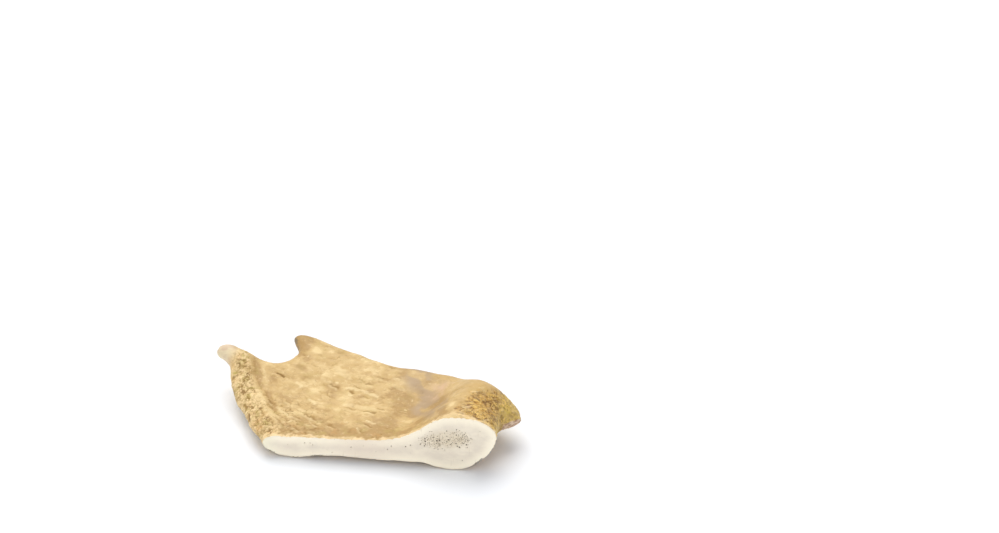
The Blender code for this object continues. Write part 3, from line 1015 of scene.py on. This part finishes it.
def barkMaterial(s):
    material, shader = newMaterial("antlerBark")
    tree = material.node_tree
    turn = s["grainTurn"]
    pearled = kept(tree, "pearled")
    deep = kept(tree, "deep")
    beam = kept(tree, "beam")
    front = kept(tree, "front")
    rough = kept(tree, "rough")
    tip = kept(tree, "polished")
    plain = minus(1, tip)

    # tone of the bark: darker towards the long cut, painted shade in the groove, a painted
    # highlight on the roll beside it
    grain = cloud(tree, (1.7, 0.7, 0.8), 3, 0.6, turn, 1)
    tone = plus(kept(tree, "tone"), times(minus(grain, 0.5), 0.35))
    frontShade = minus(0.54, times(pearled, 0.28))
    tone = minus(tone, times(front, frontShade))
    tone = minus(tone, times(kept(tree, "trough"), 0.85))
    tone = plus(tone, times(kept(tree, "rolled"), 0.36))
    coats = [
        (spread(tone, 0.42, 0.98), s["light"]),
        (spread(tone, 0.02, 0.46, (0.85, 0)), s["dark"]),
    ]

    # small blotches, more of them where the palm is rough
    mottle = cloud(tree, (2.6, 1.5, 1.6), 4, 0.7, turn, 1.2)
    blotched = times(spread(mottle, 0.54, 0.68), plus(times(rough, 0.45), 0.3))
    coats += [(blotched, s["umber"]), (spread(mottle, 0.45, 0.3, (0, 0.45)), s["crest"])]

    # yellow and orange stains
    stain = cloud(tree, (4.5, 3.5, 3.5), 3, 0.6)
    olive = plus(times(front, 0.25), 0.18)
    olive = times(spread(stain, 0.5, 0.68), plus(times(pearled, 0.75), olive))
    amber = plus(times(pearled, 0.16), times(front, 0.3))
    amber = times(spread(stain, 0.48, 0.32), plus(amber, times(beam, 0.29)))
    coats += [(olive, s["olive"]), (amber, s["amber"])]

    # the beam is browner, with pale places
    golden = times(kept(tree, "golden"), spread(mottle, 0.3, 0.6, (0.25, 0.75)))
    spurward = kept(tree, "spurward")
    beamColour = blendColour(spurward, s["beamBrown"], s["beamOlive"])
    brown = spread(cloud(tree, (2.6, 2, 2), 4, 0.65, 0, 0.5), 0.38, 0.6, (0.25, 1))
    pale = spread(cloud(tree, (2.6, 1.9, 2), 4, 0.7, 0, 0.8), 0.5, 0.6)
    pale = plus(times(pale, 0.85), times(kept(tree, "paleBeam"), 0.4))
    coats += [
        (golden, s["golden"]),
        (times(beam, brown), beamColour),
        (times(beam, pale), s["beamPale"]),
    ]

    # dark specks in clusters, and on the beam dark clumps as well
    clusters = spread(cloud(tree, (4, 4, 4), 2), 0.36, 0.52)
    specks = spread(cloud(tree, (1.1, 1, 1), 3, 0.7, 0, 0.8), 0.5, 0.6)
    specks = times(specks, clusters)
    darkened = times(maths("MAXIMUM", pearled, times(rough, 0.6)), 0.5)
    beamDirt = times(beam, minus(1, times(spurward, 0.5)))
    clumps = cloud(tree, (3.8, 2.8, 3), 4, 0.66, 0, 1)
    clumps = plus(clumps, times(kept(tree, "darkBeam"), 0.09))
    clumps = spread(clumps, 0.52, 0.6)
    coats += [
        (times(specks, darkened), s["crevice"]),
        (times(clumps, times(beamDirt, 0.8)), s["beamDark"]),
        (times(specks, times(beamDirt, 0.62)), s["beamDark"]),
    ]

    # the hollow beside the beam is greyed, and rosy in one place
    greyed = spread(cloud(tree, (6.5, 4.5, 4.5), 2, 0.5, 0.6), 0.4, 0.57, (0.2, 1))
    rosy = times(kept(tree, "rosyHollow"), spread(stain, 0.35, 0.6, (0.9, 0.2)))
    coats += [(times(kept(tree, "grey"), greyed), s["grey"]), (rosy, s["rosy"])]

    # crests are pale from wear and a painted highlight, with fine freckles
    rosyCrest = times(pearled, spread(stain, 0.5, 0.4))
    crest = blendColour(rosyCrest, s["crest"], s["rosyCrest"])
    fine = cloud(tree, (0.8, 0.6, 0.6), 3, 0.7, turn)
    freckled = plus(plus(times(pearled, 0.5), times(front, 0.3)), 0.22)
    freckled = times(times(spread(fine, 0.6, 0.7), freckled), plain)
    coats += [(times(kept(tree, "wearAndHighlight"), 0.75), crest), (freckled, s["dark"])]

    # fine grains among the pearls, and dark hollows: the bark's own stain in them, with painted
    # shade
    band = times(times(pearled, minus(1, beam)), plain)
    grains = cloud(tree, (1.15, 0.95, 0.95), 3, 0.65, 0.5, 0.5)
    crevice = blendColour(beam, s["crevice"], s["beamCrevice"])
    coats += [
        (times(band, spread(grains, 0.54, 0.62, (0, 0.6))), s["rosyCrest"]),
        (times(band, spread(grains, 0.44, 0.37, (0, 0.5))), s["crevice"]),
        (spread(deep, 0.04, 0.6, (0, 0.8)), crevice),
        (spread(deep, 0.5, 1, (0, 0.8)), s["deep"]),
    ]

    # polished ends of the tines, and painted shade on the inner tine's end and down the left flank
    # of its tip
    rose = spread(cloud(tree, (5, 3, 3), 3), 0.45, 0.62)
    polished = blendColour(rose, s["tip"], s["tipRose"])
    shadedTip = times(kept(tree, "shadedInnerTip"), spread(stain, 0.3, 0.6, (0.7, 1.3)))
    shadedTip = spread(shadedTip, 0.45, 1, (0, 0.8))
    coats += [(times(tip, 0.92), polished), (shadedTip, s["tipShade"])]

    # torn edge of the bark along the cut, and the spur's own cut, darker than the long cut: painted
    # shade on a facet that faces down, with reddish stains of its own
    border = times(kept(tree, "border"), spread(stain, 0.35, 0.6, (0.85, 0.45)))
    stained = spread(cloud(tree, (2.4, 1.4, 1), 3, 0.65), 0.44, 0.56, (0, 0.95))
    spurColour = blendColour(stained, s["sawn"], s["sawnStain"])
    coats += [(border, s["border"]), (kept(tree, "spurCut"), spurColour)]
    tree.links.new(coated(s["mid"], coats), shader.inputs["Base Color"])

    roughness = spread(cloud(tree, (3, 1.6, 1.6), 4), 0.3, 0.7, (0.44, 0.62))
    roughness = plus(roughness, times(deep, 0.2))
    roughness = minus(roughness, times(tip, 0.12))
    tree.links.new(roughness, shader.inputs["Roughness"])

    grit = cloud(tree, (0.65, 0.45, 0.5), 4, 0.65, turn)
    grooves = cloud(tree, (2.4, 0.42, 0.8), 3, 0.6, turn, 0.5)
    bumps = plus(times(grit, 0.6), times(grooves, 0.4))
    bumps = minus(bumps, times(freckled, 0.5))
    bumps = plus(bumps, times(band, times(grains, 1.6)))
    addBump(shader, bumps, s)
    shader.inputs["Specular IOR Level"].default_value = s["shine"]
    return material


sawnFinish = {
    "rim": tint(255, 244, 220),
    "inside": tint(229, 217, 197),
    "core": tint(225, 211, 185),
    "green": tint(228, 226, 196),
    "rosy": tint(226, 208, 190),
    "line": tint(214, 198, 172),
    "poreAndShade": tint(66, 55, 36),
    "speck": tint(150, 134, 112),
    "bumpDepth": 0.05,  # mm
    "bumpStrength": 0.6,
}


def sawnMaterial(s):
    # paler round the edge, greyer inside, with a few thin lines that the saw left
    material, shader = newMaterial("sawnBone")
    tree = material.node_tree
    core = kept(tree, "core")
    soft = cloud(tree, (6, 6, 4), 3, 0.6)
    mottled = cloud(tree, (1.6, 1.6, 1.6), 4, 0.6)
    grooves = cloud(tree, (0.75, 30, 7), 2, 0.5)
    specks = cloud(tree, (0.5, 0.5, 0.6), 2, 0.6)
    speckled = plus(specks, times(core, 0.07))
    tree.links.new(coated(s["rim"], [
        (times(kept(tree, "inside"), spread(soft, 0.3, 0.65, (0.55, 1))), s["inside"]),
        (times(kept(tree, "greenEnd"), 0.45), s["green"]),
        (times(kept(tree, "rosyMiddle"), 0.45), s["rosy"]),
        (times(core, spread(mottled, 0.3, 0.6, (0.45, 1))), s["core"]),
        (spread(grooves, 0.64, 0.76, (0, 0.45)), s["line"]),
        (spread(speckled, 0.68, 0.75, (0, 0.75)), s["speck"]),
        # dark pores, and painted shade along parts of the lower edge where the cut meets the ground
        (spread(kept(tree, "poreAndShade"), 0.12, 0.62, (0, 0.95)), s["poreAndShade"]),
    ]), shader.inputs["Base Color"])
    tree.links.new(spread(mottled, 0.3, 0.7, (0.5, 0.66)), shader.inputs["Roughness"])
    marks = plus(times(grooves, -0.4), times(specks, -0.4))
    addBump(shader, marks, s)
    return material


antlerMesh.materials.append(barkMaterial(barkFinish))
antlerMesh.materials.append(sawnMaterial(sawnFinish))
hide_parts("antler")
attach(antler, "root")
print("antler is finished")


studio = {
    "floorSize": 8,  # metres
    "floorColour": (0.93, 0.955, 0.99, 1),
    "floorRoughness": 0.85,
    "floorShine": 0.1,
    "skyColour": (0.91, 0.985, 1.13, 1),
    "skyStrength": 0.37,
    "lightColour": (1.04, 1, 0.94),
    # where the light comes from, its strength and how wide it is, in degrees
    "lights": {
        "topLight": ((-0.17, 0.57, 1), 2.06, 52),
        "frontLight": ((0, -1, 0.6), 0.92, 70),
        "leftLight": ((-1, 0.05, 0.8), 0.38, 60),
        "rightLight": ((1, -0.1, 0.8), 0.18, 60),
    },
}


def makeStudio(s):
    half = s["floorSize"] / 2.0
    mesh = bpy.data.meshes.new("floor")
    corners = [(-half, -half, 0), (half, -half, 0), (half, half, 0), (-half, half, 0)]
    mesh.from_pydata(corners, [], [(0, 1, 2, 3)])
    material, shader = newMaterial("paleFloor")
    shader.inputs["Base Color"].default_value = s["floorColour"]
    shader.inputs["Roughness"].default_value = s["floorRoughness"]
    shader.inputs["Specular IOR Level"].default_value = s["floorShine"]
    mesh.materials.append(material)
    floor = newObject("floor", mesh)

    for name, (place, strength, width) in s["lights"].items():
        data = bpy.data.lights.new(name, "SUN")
        data.angle = math.radians(width)
        data.energy = strength
        data.color = s["lightColour"]
        light = newObject(name, data)
        light.location = place
        light.rotation_euler = Vector(place).to_track_quat("Z", "Y").to_euler()

    world = bpy.data.worlds.new("paleSky")
    world.use_nodes = True
    sky = world.node_tree.nodes["Background"].inputs
    sky["Color"].default_value = s["skyColour"]
    sky["Strength"].default_value = s["skyStrength"]
    bpy.context.scene.world = world
    bpy.context.scene.view_settings.view_transform = "Standard"


makeStudio(studio)
print("studio is lit")
